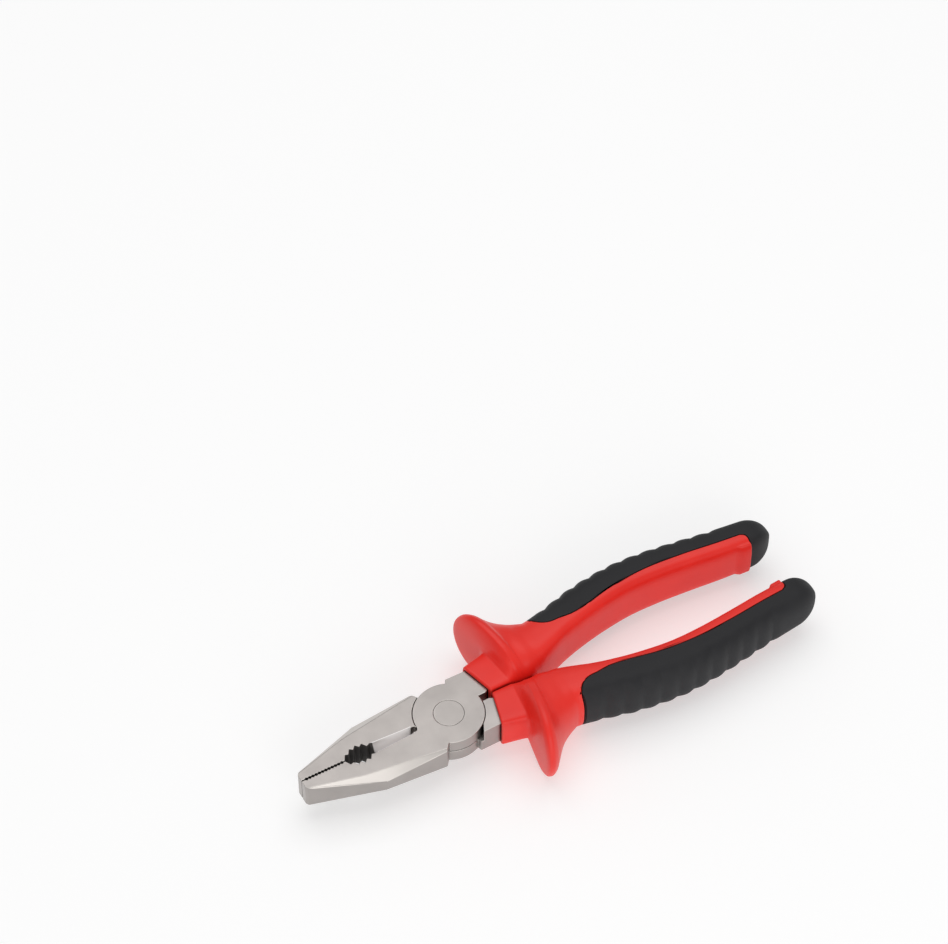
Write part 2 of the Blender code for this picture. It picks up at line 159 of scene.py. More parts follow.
# Handle stations: x, inner face |y|, outer face |y|, half height
HANDLE_STATIONS = (
    (34.5, 0.4, 20.6, 10.9),
    (43.0, 3.4, 21.3, 10.7),
    (52.0, 7.0, 23.3, 10.6),
    (62.0, 9.7, 25.8, 10.6),
    (72.0, 11.6, 27.3, 10.6),
    (83.0, 12.8, 28.0, 10.5),
    (95.0, 12.6, 27.3, 10.3),
    (108.0, 11.5, 25.6, 10.0),
    (121.0, 10.1, 23.7, 9.6),
    (132.5, 9.4, 22.4, 9.2),
    (HANDLE_END_X, 9.2, 21.6, 8.8),
)
# Edge of the grip on the handle's top face: x, |y|
GRIP_EDGE = (
    (52.0, 13.5),
    (58.0, 13.1),
    (66.0, 14.4),
    (76.0, 16.4),
    (90.0, 17.5),
    (105.0, 16.7),
    (120.0, 15.1),
    (131.0, 14.2),
)
# Neck block and finger guard: x at the inner face, x at the outer face, inner |y|, outer |y|, half height,
# centre |y|, corner power inside and outside
FRONT_STATIONS = (
    (BLOCK_FRONT_X, 13.4, 0.2, 13.9, BLOCK_HALF_HEIGHT - 0.4, 7.3, 9.0, 8.0),
    (BLOCK_FRONT_X + 0.5, 13.8, 0.2, 14.4, BLOCK_HALF_HEIGHT, 7.4, 9.0, 7.0),
    (24.4, 22.6, 0.2, 17.0, BLOCK_HALF_HEIGHT + 0.1, 8.6, 8.0, 5.0),
    (25.5, 22.8, 0.2, 18.6, 7.9, 9.6, 5.0, 4.5),
    (26.6, 22.3, 0.2, 22.0, 9.2, 12.0, 3.6, 3.2),
    (27.7, 21.4, 0.2, 27.5, 11.4, 16.0, 2.8, 2.5),
    (28.8, 20.7, 0.2, GUARD_REACH - 2.4, GUARD_HALF_HEIGHT - 1.7, 20.5, 2.5, 2.1),
    (29.7, 21.2, 0.2, GUARD_REACH - 0.4, GUARD_HALF_HEIGHT - 0.3, 21.5, 2.35, 2.0),
    (30.6, 22.6, 0.2, GUARD_REACH, GUARD_HALF_HEIGHT, 22.0, 2.25, 2.0),
    (31.4, 24.4, 0.2, GUARD_REACH - 0.8, GUARD_HALF_HEIGHT - 0.5, 21.5, 2.3, 2.0),
    (32.2, 26.8, 0.2, 31.6, 13.3, 19.5, 2.4, 2.1),
    (33.4, 29.6, 0.2, 28.4, 12.4, 16.5, 2.5, 2.2),
    (35.2, 33.0, 0.6, 25.2, 11.8, 13.8, 2.7, 2.4),
    (37.6, 36.6, 1.5, 23.0, 11.1, 12.2, 2.9, 2.55),
)
SLEEVE_JOIN_X = 40.5
FRONT_STEPS = 6

# Room, light and camera
FLOOR_GREY = 0.62
FLOOR_GLOW = 0.46
SKY_STRENGTH = 0.45
CAMERA_AZIMUTH = math.radians(-31.8)
CAMERA_ELEVATION = math.radians(54.2)
CAMERA_DISTANCE = 1.2
FRAME_WIDTH = 336.0
AIM_RIGHT = -30.0
AIM_UP = 70.5


# Building blocks

def add_form(name, mesh):
    """A helper object, which only takes part in Booleans and is removed once its mesh is read."""
    form = bpy.data.objects.new("form_" + name, mesh)
    bpy.context.scene.collection.objects.link(form)
    form.hide_render = True
    form.display_type = "WIRE"
    return form


def evaluated_mesh(item):
    graph = bpy.context.evaluated_depsgraph_get()
    return bpy.data.meshes.new_from_object(item.evaluated_get(graph))


def plate(name, outline, low, high):
    """A flat outline given a thickness, from height low to height high."""
    curve = bpy.data.curves.new(name, "CURVE")
    curve.dimensions = "2D"
    curve.fill_mode = "BOTH"
    curve.extrude = (high - low) / 2 * MM
    spline = curve.splines.new("POLY")
    spline.points.add(len(outline) - 1)
    for point, (x, y) in zip(spline.points, outline):
        point.co = (x * MM, y * MM, 0.0, 1.0)
    spline.use_cyclic_u = True
    drawn = add_form(name + "_outline", curve)
    mesh = evaluated_mesh(drawn)
    bpy.data.objects.remove(drawn)
    shape = bmesh.new()
    shape.from_mesh(mesh)
    bmesh.ops.remove_doubles(shape, verts=shape.verts, dist=0.00001)
    bmesh.ops.translate(shape, verts=shape.verts, vec=(0.0, 0.0, (low + high) / 2 * MM))
    bmesh.ops.recalc_face_normals(shape, faces=shape.faces)
    shape.to_mesh(mesh)
    shape.free()
    return add_form(name, mesh)


def loft(name, rings):
    """A closed skin through rings that have the same number of points, capped at both ends."""
    shape = bmesh.new()
    loops = [[shape.verts.new(Vector(point) * MM) for point in ring] for ring in rings]
    for first, second in zip(loops, loops[1:]):
        for k in range(len(first)):
            near = (k + 1) % len(first)
            shape.faces.new((first[k], first[near], second[near], second[k]))
    shape.faces.new(loops[0])
    shape.faces.new(loops[-1])
    bmesh.ops.recalc_face_normals(shape, faces=shape.faces)
    mesh = bpy.data.meshes.new(name)
    shape.to_mesh(mesh)
    shape.free()
    return add_form(name, mesh)


def turned(name, profile, segments):
    """A profile of (radius, z) points, listed from the top down, turned about Z."""
    shape = bmesh.new()
    points = [shape.verts.new((radius * MM, 0.0, z * MM)) for radius, z in profile]
    for upper, lower in zip(points, points[1:]):
        shape.edges.new((upper, lower))
    mesh = bpy.data.meshes.new(name)
    shape.to_mesh(mesh)
    shape.free()
    form = add_form(name, mesh)
    screw = form.modifiers.new("turn", "SCREW")
    screw.axis = "Z"
    screw.steps = segments
    screw.render_steps = segments
    screw.use_merge_vertices = True
    screw.merge_threshold = 0.00001
    return form


def cylinder(name, radius, low, high, centre=(0.0, 0.0), segments=ROUND_SEGMENTS):
    """A primitive cylinder standing on Z."""
    shape = bmesh.new()
    place = Matrix.Translation(Vector((*centre, (low + high) / 2)) * MM)
    bmesh.ops.create_cone(
        shape,
        cap_ends=True,
        segments=segments,
        radius1=radius * MM,
        radius2=radius * MM,
        depth=(high - low) * MM,
        matrix=place,
    )
    mesh = bpy.data.meshes.new(name)
    shape.to_mesh(mesh)
    shape.free()
    return add_form(name, mesh)


def block_beyond(name, corner, second, third, size=60.0):
    """A cube with one face on the plane through three points, lying on the side away from the head."""
    corner, second, third = Vector(corner), Vector(second), Vector(third)
    normal = (second - corner).cross(third - corner).normalized()
    if normal.y > 0:
        normal.negate()
    place = Matrix.Translation((corner + second) / 2 * MM + normal * size / 2 * MM)
    turn = normal.to_track_quat("Z", "Y").to_matrix().to_4x4()
    shape = bmesh.new()
    bmesh.ops.create_cube(shape, size=size * MM, matrix=place @ turn)
    mesh = bpy.data.meshes.new(name)
    shape.to_mesh(mesh)
    shape.free()
    return add_form(name, mesh)


def combine(target, operation, *tools):
    for tool in tools:
        boolean = target.modifiers.new(tool.name, "BOOLEAN")
        boolean.operation = operation
        boolean.solver = "EXACT"
        boolean.object = tool


def smooth_between(stations, x):
    """A smooth curve through stations (x, a, b, ...) read at x: a Hermite cubic in each interval."""
    last = len(stations) - 1
    x = min(max(x, stations[0][0]), stations[last][0])
    k = max(i for i in range(last) if stations[i][0] <= x)
    span = stations[k + 1][0] - stations[k][0]
    t = (x - stations[k][0]) / span
    values = []
    for channel in range(1, len(stations[0])):
        slopes = []
        for end in (k, k + 1):
            before, after = stations[max(end - 1, 0)], stations[min(end + 1, last)]
            slopes.append((after[channel] - before[channel]) / (after[0] - before[0]) * span)
        values.append(hermite(stations[k][channel], stations[k + 1][channel], *slopes, t))
    return values


def hermite(start, stop, start_slope, stop_slope, t):
    return (
        (2 * t**3 - 3 * t**2 + 1) * start
        + (t**3 - 2 * t**2 + t) * start_slope
        + (3 * t**2 - 2 * t**3) * stop
        + (t**3 - t**2) * stop_slope
    )


def even_slope(before, here, after):
    """The slope at a station that keeps the curve from overshooting: the harmonic mean of its two steps."""
    first, second = here - before, after - here
    if first * second <= 0:
        return 0.0
    return 2 * first * second / (first + second)


def steady_between(stations, k, t):
    """The stations' values a share t of the way from station k to the next, with no overshoot."""
    last = len(stations) - 1
    values = []
    for channel in range(len(stations[0])):
        around = [stations[min(max(k + step, 0), last)][channel] for step in (-1, 0, 1, 2)]
        start_slope = even_slope(*around[:3]) if k > 0 else around[2] - around[1]
        stop_slope = even_slope(*around[1:]) if k + 1 < last else around[2] - around[1]
        values.append(hermite(around[1], around[2], start_slope, stop_slope, t))
    return values


# Lever: jaw, lap disc, neck and tang

def bite_line():
    """The jaw's inner edge from the nose to the joint: serrations, pipe grip, then the cutting edge."""
    points = [(NOSE_X, -HALF_GAP)]
    step = (SERRATION_END_X - SERRATION_START_X) / SERRATION_COUNT
    for k in range(SERRATION_COUNT):
        crest = SERRATION_START_X + k * step
        points.append((crest, -HALF_GAP))
        points.append((crest + step / 2, -HALF_GAP - SERRATION_DEPTH))
    points.append((SERRATION_END_X, -HALF_GAP))
    points.append((PIPE_GRIP_START_X, -HALF_GAP))
    length = PIPE_GRIP_END_X - PIPE_GRIP_START_X
    for k in range(1, 2 * PIPE_GRIP_TEETH):
        share = k / (2 * PIPE_GRIP_TEETH)
        depth = PIPE_GRIP_DEPTH * math.sin(math.pi * share) ** 0.7
        tooth = PIPE_TOOTH_HEIGHT / 2 if k % 2 else -PIPE_TOOTH_HEIGHT / 2
        points.append((PIPE_GRIP_START_X + length * share, -HALF_GAP - depth - tooth))
    points.append((PIPE_GRIP_END_X, -HALF_GAP))
    points.append((-4.0, -HALF_GAP))
    return points


def jaw_outline():
    return bite_line() + [
        (-4.0, -9.0),
        (-6.6, -11.7),
        (SHOULDER[0], -SHOULDER[1]),
        (KNEE[0], -KNEE[1]),
        (-55.9, -4.4),
        (-57.3, -3.7),
        (NOSE_X, -2.6),
    ]


def neck_outline(grow=0.0, front_x=3.0):
    return [
        (front_x, NECK_SLOT - grow),
        (15.4, NECK_SLOT - grow),
        (17.6, NECK_SLOT + 1.2 - grow),
        (NECK_END_X + grow, NECK_SLOT + 1.9 - grow),
        (NECK_END_X + grow, 11.8 + grow),
        (18.0, NECK_SIDE - 0.2 + grow),
        (5.8, NECK_SIDE + grow),
        (5.2, 11.5 + grow),
        (front_x, 8.0 + grow),
    ]


def tang_rings(grow=0.0):
    """Rectangular sections that follow the middle of the handle."""
    rings = []
    for x in (NECK_END_X - 2.0, 32.0, 42.0, 52.0, 62.0, 73.0, 84.0, 95.0, TANG_END_X):
        share = (x - NECK_END_X) / (TANG_END_X - NECK_END_X)
        inner, outer, _ = smooth_between(HANDLE_STATIONS, max(x, HANDLE_STATIONS[0][0]))
        blend = min(max((x - NECK_END_X) / 18.0, 0.0), 1.0)
        middle = 7.4 + ((inner + outer) / 2 - 7.4) * blend
        half_width = TANG_HALF_WIDTH + (TANG_END_HALF_WIDTH - TANG_HALF_WIDTH) * share + grow
        half_height = TANG_HALF_HEIGHT + (TANG_END_HALF_HEIGHT - TANG_HALF_HEIGHT) * share + grow
        if x == TANG_END_X:
            x += grow
        rings.append(
            [
                (x, middle - half_width, -half_height),
                (x, middle + half_width, -half_height),
                (x, middle + half_width, half_height),
                (x, middle - half_width, half_height),
            ]
        )
    return rings


def rivet_profile(grow, top):
    """Half section of the rivet, or of its hole: a shank with a countersunk head at each end."""
    rim = RIVET_TOP - RIVET_HEAD_RIM
    slope = RIVET_HEAD_RADIUS - RIVET_RADIUS
    return [
        (0.0, top),
        (RIVET_HEAD_RADIUS + grow, top),
        (RIVET_HEAD_RADIUS + grow, rim),
        (RIVET_RADIUS + grow, rim - slope),
        (RIVET_RADIUS + grow, slope - rim),
        (RIVET_HEAD_RADIUS + grow, -rim),
        (RIVET_HEAD_RADIUS + grow, -top),
        (0.0, -top),
    ]


def cutter_trench():
    """The two ground faces that leave a cutting edge at mid thickness, narrower towards the joint."""
    top = HALF_HEAD + 0.5
    ends = ((PIPE_GRIP_END_X - 1.2, CUTTER_FRONT_HALF_WIDTH), (CUTTER_END_X, CUTTER_REAR_HALF_WIDTH))
    forms = []
    for side, name in ((1, "top"), (-1, "bottom")):
        rings = []
        for x, half_width in ends:
            rise = half_width / (HALF_HEAD - CUTTER_EDGE_HEIGHT)
            far = -HALF_GAP - rise * (top - CUTTER_EDGE_HEIGHT)
            profile = (
                (1.0, CUTTER_EDGE_HEIGHT),
                (-HALF_GAP + 0.01, CUTTER_EDGE_HEIGHT),
                (far, top),
                (1.0, top),
            )
            rings.append([(x, y, side * z) for y, z in profile])
        forms.append(loft("cutter_trench_" + name, rings))
    return forms


def jaw_bevels():
    """Cutters for the ground bevels on the jaw's outer edges, two to a face, meeting at the knee."""
    forms = []
    for side, name in ((1, "top"), (-1, "bottom")):
        nose_edge = (-56.5, -3.7, side * HALF_HEAD)
        knee_edge = (-38.0, -8.5, side * HALF_HEAD)
        shoulder_edge = (SHOULDER[0], -12.7, side * HALF_HEAD)
        knee_side = (KNEE[0], -KNEE[1], side * (HALF_HEAD - KNEE_BEVEL))
        forms.append(block_beyond("front_bevel_" + name, nose_edge, knee_edge, knee_side))
        lift = Vector((0.0, -0.01, 0.0))
        rear_plane = [Vector(point) + lift for point in (knee_edge, shoulder_edge, knee_side)]
        forms.append(block_beyond("rear_bevel_" + name, *rear_plane))
    return forms


def shear_notch():
    """The wire-shear slot: the neck's front corner is cut back where it faces the other lever's disc."""
    outline = [(8.4, 9.7), (6.2, 14.0), (4.0, 14.0), (4.0, 9.7)]
    return plate("shear_notch", outline, -HALF_HEAD - 1, HALF_GAP)


def lever_form():
    """The front lever: its jaw on the -Y side, its disc on top and its tang on the +Y side."""
    lever = plate("lever", jaw_outline(), -HALF_HEAD, HALF_HEAD)
    neck = plate("neck", neck_outline(), -HALF_HEAD, HALF_HEAD)
    combine(neck, "DIFFERENCE", shear_notch())
    opposite = cylinder("opposite_disc_space", SHOULDER_RADIUS, -HALF_HEAD - 1, HALF_GAP)
    disc = cylinder("disc", DISC_RADIUS, HALF_GAP, HALF_HEAD)
    combine(lever, "DIFFERENCE", *jaw_bevels())
    combine(lever, "DIFFERENCE", *cutter_trench())
    relief = cylinder("relief", RELIEF_RADIUS, -7, 7, centre=(RELIEF_X, 0.0), segments=48)
    combine(lever, "DIFFERENCE", relief)
    combine(lever, "UNION", neck)
    combine(lever, "DIFFERENCE", opposite)
    combine(lever, "UNION", disc)
    combine(lever, "UNION", loft("tang", tang_rings()))
    hole = turned("rivet_hole", rivet_profile(RIVET_FIT, HALF_HEAD + 0.4), ROUND_SEGMENTS)
    combine(lever, "DIFFERENCE", hole)
    return lever


# Sleeve and grip

def section(x_inner, x_outer, inner, outer, half_height, centre, corner_in, corner_out, count=RING_POINTS):
    """A ring of a handle: two half superellipses that share a centre line, in a plane that may slant."""
    slant = (x_outer - x_inner) / (outer - inner)
    ring = []
    for k in range(count):
        angle = 2 * math.pi * k / count
        across, up = math.cos(angle), math.sin(angle)
        power = 2 / (corner_out if across > 0 else corner_in)
        half_width = outer - centre if across > 0 else centre - inner
        y = centre + math.copysign(abs(across) ** power, across) * half_width
        z = math.copysign(abs(up) ** power, up) * half_height
        ring.append((x_inner + slant * (y - inner), y, z))
    return ring


def dome(x, start_x, end_x):
    """How far a section near the handle's end shrinks, from 1 to almost 0."""
    share = min(max((x - start_x) / (end_x - start_x), 0.0), 0.998)
    return math.sqrt(1 - share**2)


def handle_shape(x, inset=0.0, end_x=HANDLE_END_X):
    """What section() needs for the handle at x, drawn in by an inset."""
    inner, outer, half_height = smooth_between(HANDLE_STATIONS, x)
    shrink = dome(x, DOME_START_X, end_x)
    middle = (inner + outer) / 2
    inner = middle - (middle - inner - inset) * shrink
    outer = middle + (outer - middle - inset) * shrink
    corner_in = 2.9 + 1.6 * min(max((x - HANDLE_STATIONS[0][0]) / 15.0, 0.0), 1.0)
    return (x, x, inner, outer, (half_height - inset) * shrink, middle, corner_in, 2.7)


def handle_section(x, inset=0.0, end_x=HANDLE_END_X, ribbed=False):
    """A ring of the handle at x. The ribs are left standing between grooves in its outer side."""
    shape = handle_shape(x, inset, end_x)
    outer, middle = shape[3], shape[5]
    ring = section(*shape)
    phase = (x - RIB_START_X) / RIB_PITCH
    if not ribbed or not 0.5 <= phase <= RIB_COUNT - 0.5:
        return ring
    groove = RIB_HEIGHT * (1 - abs(math.sin(math.pi * phase)))
    half_width = outer - middle
    return [(px, py - groove * max((py - middle) / half_width, 0.0) ** 1.2, pz) for px, py, pz in ring]


def spread(start, stop, pitch):
    """Evenly spaced values from start to stop, about pitch apart."""
    count = max(round((stop - start) / pitch), 1)
    return [start + (stop - start) * k / count for k in range(count + 1)]


def dome_stations(start, end, count=14):
    """Stations that close up towards the end, a quarter turn in equal angles."""
    return [start + (end - start) * math.sin(math.pi / 2 * k / count) for k in range(1, count + 1)]


def front_rings():
    """The neck block, the hollow front of the finger guard, its rim and the fairing behind it."""
    stations = FRONT_STATIONS + (handle_shape(SLEEVE_JOIN_X),)
    rings = []
    for k in range(len(FRONT_STATIONS)):
        for step in range(FRONT_STEPS):
            rings.append(section(*steady_between(stations, k, step / FRONT_STEPS)))
    return rings


def handle_rings(start, pitch, inset=0.0, end_x=HANDLE_END_X, ribbed=False):
    stations = spread(start, DOME_START_X, pitch)
    stations += dome_stations(DOME_START_X, end_x)
    return [handle_section(x, inset, end_x, ribbed) for x in stations]


def grip_region(name, grow):
    """The part of the handle that the grip covers, in plan: everything outside its edge line."""
    outline = [(GRIP_FRONT_X - grow, 36.0)]
    corner_x, corner_y = 7.5, 6.5
    for angle in spread(0.0, math.pi / 2, math.pi / 20):
        x = GRIP_FRONT_X + corner_x * (1 - math.cos(angle)) - grow * math.cos(angle)
        y = GRIP_EDGE[0][1] + corner_y * (1 - math.sin(angle)) - grow * math.sin(angle)
        outline.append((x, y))
    for x in spread(GRIP_EDGE[0][0], GRIP_END_X - 2.2, 2.5):
        outline.append((x, smooth_between(GRIP_EDGE, x)[0] - grow))
    outline += [
        (GRIP_END_X - 0.9 - grow, 13.8 - grow),
        (GRIP_END_X - 0.25 - grow, 13.1 - grow),
        (GRIP_END_X - grow, 12.0 - grow),
        (GRIP_END_X - grow, 2.0),
        (HANDLE_END_X + 4.0, 2.0),
        (HANDLE_END_X + 4.0, 36.0),
    ]
    return plate(name, outline, -18.0, 18.0)


def strip_end_ridge():
    """The raised lip that closes the sleeve's inner strip at the grip's end cap."""
    rings = []
    for x, height in ((124.6, -1.2), (127.0, 1.0), (GRIP_END_X - HALF_GAP, 1.2)):
        inner, _, half_height = smooth_between(HANDLE_STATIONS, x)
        front, back = inner - height, inner + 3.0
        rings.append(section(x, x, front, back, half_height - 1.0, (front + back) / 2, 3.4, 5.0, count=64))
    return loft("strip_end_ridge", rings)


def sleeve_form():
    sleeve = loft("sleeve", front_rings() + handle_rings(SLEEVE_JOIN_X, STATION_PITCH))
    combine(sleeve, "UNION", strip_end_ridge())
    core = loft("sleeve_core", handle_rings(37.0, 3.0, GRIP_THICKNESS, HANDLE_END_X - GRIP_THICKNESS))
    recess = grip_region("grip_recess", HALF_GAP)
    combine(recess, "DIFFERENCE", core)
    combine(sleeve, "DIFFERENCE", recess)
    neck_socket = plate(
        "neck_socket", neck_outline(RUNNING_GAP, 9.0), -HALF_HEAD - RUNNING_GAP, HALF_HEAD + RUNNING_GAP
    )
    combine(sleeve, "DIFFERENCE", neck_socket, loft("tang_socket", tang_rings(RUNNING_GAP)))
    return sleeve


def grip_form():
    grip = loft("grip", handle_rings(38.0, RIB_PITCH / 12, ribbed=True))
    combine(grip, "INTERSECT", grip_region("grip_panel", -HALF_GAP))
    inset = GRIP_THICKNESS - RUNNING_GAP
    room = loft("core_room", handle_rings(36.0, 3.0, inset, HANDLE_END_X - inset))
    combine(grip, "DIFFERENCE", room)
    return grip


def finished(form, edge, sharp_from, weld=0.02):
    """The form's mesh after its Booleans, slivers welded away and edges sharper than sharp_from eased."""
    mesh = evaluated_mesh(form)
    shape = bmesh.new()
    shape.from_mesh(mesh)
    bmesh.ops.remove_doubles(shape, verts=shape.verts, dist=weld * MM)
    bmesh.ops.dissolve_degenerate(shape, edges=shape.edges, dist=weld * MM)
    bmesh.ops.dissolve_limit(
        shape,
        angle_limit=math.radians(0.2),
        verts=shape.verts,
        edges=shape.edges,
        use_dissolve_boundaries=False,
    )
    shape.to_mesh(mesh)
    shape.free()
    mesh.materials.clear()
    mesh.shade_smooth()
    eased = add_form("eased", mesh)
    bevel = eased.modifiers.new("eased_edges", "BEVEL")
    bevel.width = edge * MM
    bevel.segments = 2
    bevel.limit_method = "ANGLE"
    bevel.angle_limit = math.radians(sharp_from)
    bevel.use_clamp_overlap = False
    bevel.harden_normals = True
    return evaluated_mesh(eased)


def remove_forms():
    for item in list(bpy.data.objects):
        if item.name.startswith("form_"):
            bpy.data.objects.remove(item)


# Materials

def add(tree, kind, settings=None, **inputs):
    """A node with its settings, and its inputs given as values or as links from other nodes' outputs."""
    node = tree.nodes.new("ShaderNode" + kind)
    for name, value in (settings or {}).items():
        setattr(node, name, value)
    for name, value in inputs.items():
        put(tree, node.inputs[name.replace("_", " ")], value)
    return node


def put(tree, socket, value):
    if isinstance(value, bpy.types.NodeSocket):
        tree.links.new(value, socket)
    else:
        socket.default_value = value


def calculate(tree, operation, first, second=0.0):
    node = tree.nodes.new("ShaderNodeMath")
    node.operation = operation
    node.use_clamp = operation != "SUBTRACT"
    put(tree, node.inputs[0], first)
    put(tree, node.inputs[1], second)
    return node.outputs[0]


def remap(tree, value, low, high, to_low, to_high):
    node = add(tree, "MapRange", Value=value)
    for name, number in (("From Min", low), ("From Max", high), ("To Min", to_low), ("To Max", to_high)):
        node.inputs[name].default_value = number
    return node.outputs["Result"]


def both(tree, *shares):
    """1 only where every share is 1."""
    joined = shares[0]
    for share in shares[1:]:
        joined = calculate(tree, "MULTIPLY", joined, share)
    return joined


def mix(tree, share, first, second):
    return add(tree, "MixRGB", Fac=share, Color1=first, Color2=second).outputs["Color"]


def noise(tree, scale, detail, stretch=None):
    """Noise in the piece's own space, scale per metre. stretch makes it streaky."""
    place = add(tree, "TexCoord").outputs["Object"]
    if stretch:
        place = add(tree, "Mapping", Vector=place, Scale=stretch).outputs["Vector"]
    node = add(tree, "TexNoise", Vector=place, Scale=scale, Detail=detail, Roughness=0.55)
    return node.outputs["Fac"]


def edge_share(tree, radius):
    """1 on the piece's sharp edges and 0 on its faces."""
    rounded = add(tree, "Bevel", {"samples": 6}, Radius=radius * MM)
    surface = add(tree, "NewGeometry")
    alike = add(tree, "VectorMath", {"operation": "DOT_PRODUCT"})
    put(tree, alike.inputs[0], rounded.outputs["Normal"])
    put(tree, alike.inputs[1], surface.outputs["Normal"])
    return remap(tree, alike.outputs["Value"], 0.80, 0.985, 1.0, 0.0)


def open_share(tree, distance):
    """1 where the surface is open to the air and less in corners and crevices, where shade falls."""
    return add(tree, "AmbientOcclusion", {"samples": 6}, Distance=distance * MM).outputs["AO"]


def new_material(name, **constants):
    material = bpy.data.materials.new(name)
    material.use_nodes = True
    tree = material.node_tree
    shader = tree.nodes["Principled BSDF"]
    for socket, value in constants.items():
        shader.inputs[socket.replace("_", " ")].default_value = value
    return material, tree, shader


def bump(tree, shader, *layers):
    """Stacks bump layers of (height, depth in millimetres, strength) on the shader's normal."""
    normal = None
    for height, depth, strength in layers:
        node = add(tree, "Bump", Height=height, Distance=depth * MM, Strength=strength)
        if normal:
            tree.links.new(normal, node.inputs["Normal"])
        normal = node.outputs["Normal"]
    tree.links.new(normal, shader.inputs["Normal"])


def colour(red, green, blue):
    return (red, green, blue, 1.0)


def satin_nickel(name, tint, ground_highlight_tint):
    """Nickel-plated forged steel: satin faces, ground bevels with a painted highlight, worn edges and
    painted shade in its corners.

    Three masks single out its regions: tilted is every sloping face, mostly the ground bevels, painted
    lighter as a highlight; another the two faces beside the cutting edge, painted near white as a highlight;
    and the third the teeth of the pipe grip, painted near black as shade.
    """
    material, tree, shader = new_material(name)
    mottle = noise(tree, 90.0, 5.0)
    grain = noise(tree, 5200.0, 3.0)
    brushed = noise(tree, 500.0, 4.0, stretch=(0.25, 9.0, 9.0))
    place = add(tree, "SeparateXYZ", Vector=add(tree, "TexCoord").outputs["Object"]).outputs
    facing = add(tree, "SeparateXYZ", Vector=add(tree, "TexCoord").outputs["Normal"]).outputs["Z"]
    slope = calculate(tree, "ABSOLUTE", facing)
    aside = calculate(tree, "ABSOLUTE", place["Y"])
    tilted = both(tree, remap(tree, slope, 0.15, 0.25, 0.0, 1.0), remap(tree, slope, 0.985, 0.95, 0.0, 1.0))
    # Painted highlight mask: the two faces beside the cutting edge.
    cutter_painted_highlight = both(
        tree, tilted, remap(tree, aside, 2.4 * MM, 2.6 * MM, 1.0, 0.0),
        remap(tree, place["X"], (PIPE_GRIP_END_X - 0.5) * MM, PIPE_GRIP_END_X * MM, 0.0, 1.0),
        remap(tree, place["X"], CUTTER_END_X * MM, (CUTTER_END_X + 0.4) * MM, 1.0, 0.0),
    )
    # Painted shade mask: the teeth of the pipe grip.
    pipe_grip_painted_shade = both(
        tree, remap(tree, slope, 0.45, 0.60, 1.0, 0.0), remap(tree, aside, 4.6 * MM, 4.8 * MM, 1.0, 0.0),
        remap(tree, place["X"], (PIPE_GRIP_START_X - 0.5) * MM, (PIPE_GRIP_START_X - 0.2) * MM, 0.0, 1.0),
        remap(tree, place["X"], (PIPE_GRIP_END_X - 0.1) * MM, (PIPE_GRIP_END_X + 0.1) * MM, 1.0, 0.0),
    )
    edges = edge_share(tree, 0.5)
    open_air = open_share(tree, 1.5)
    darker_tint = colour(*(0.93 * part for part in tint[:3]))
    base = mix(tree, remap(tree, mottle, 0.35, 0.65, 0.0, 1.0), tint, darker_tint)
    # Painted highlight: every sloping face, mostly the ground bevels, gets the lighter tint; the ground
    # finish is real, the extra brightness is painted light.
    base = mix(tree, tilted, base, ground_highlight_tint)
    base = mix(tree, calculate(tree, "MULTIPLY", edges, 0.6), base, colour(0.80, 0.77, 0.73))
    # Painted shade: the base is darkened towards near black in corners and crevices, where ambient occlusion
    # is low.
    base_with_painted_light = mix(tree, remap(tree, open_air, 0.15, 0.75, 0.85, 0.0), base, colour(0.10, 0.09, 0.08))
    # Painted highlight: the faces beside the cutting edge are painted near white.
    base_with_painted_light = mix(tree, calculate(tree, "MULTIPLY", cutter_painted_highlight, 0.95), base_with_painted_light, colour(0.96, 0.93, 0.92))
    # Painted shade: the pipe grip's teeth are painted near black, with no metal and more roughness.
    base_with_painted_light = mix(tree, calculate(tree, "MULTIPLY", pipe_grip_painted_shade, 0.93), base_with_painted_light, colour(0.030, 0.026, 0.024))
    tree.links.new(base_with_painted_light, shader.inputs["Base Color"])
    # Less metal on the faces beside the cutting edge, so their painted highlight reads as diffuse white; no
    # metal on the pipe grip teeth painted near black as shade.
    bare = calculate(tree, "SUBTRACT", 1.0, calculate(tree, "MULTIPLY", cutter_painted_highlight, 0.8))
    tree.links.new(calculate(tree, "SUBTRACT", bare, pipe_grip_painted_shade), shader.inputs["Metallic"])
    rough = remap(tree, mottle, 0.3, 0.7, 0.30, 0.38)
    rough = calculate(tree, "ADD", rough, remap(tree, grain, 0.3, 0.7, -0.02, 0.03))
    rough = calculate(tree, "SUBTRACT", rough, calculate(tree, "MULTIPLY", edges, 0.08))
    rough = calculate(tree, "ADD", rough, calculate(tree, "MULTIPLY", pipe_grip_painted_shade, 0.35))
    tree.links.new(rough, shader.inputs["Roughness"])
    bump(tree, shader, (grain, 0.012, 0.5), (brushed, 0.010, 0.35))
    return material


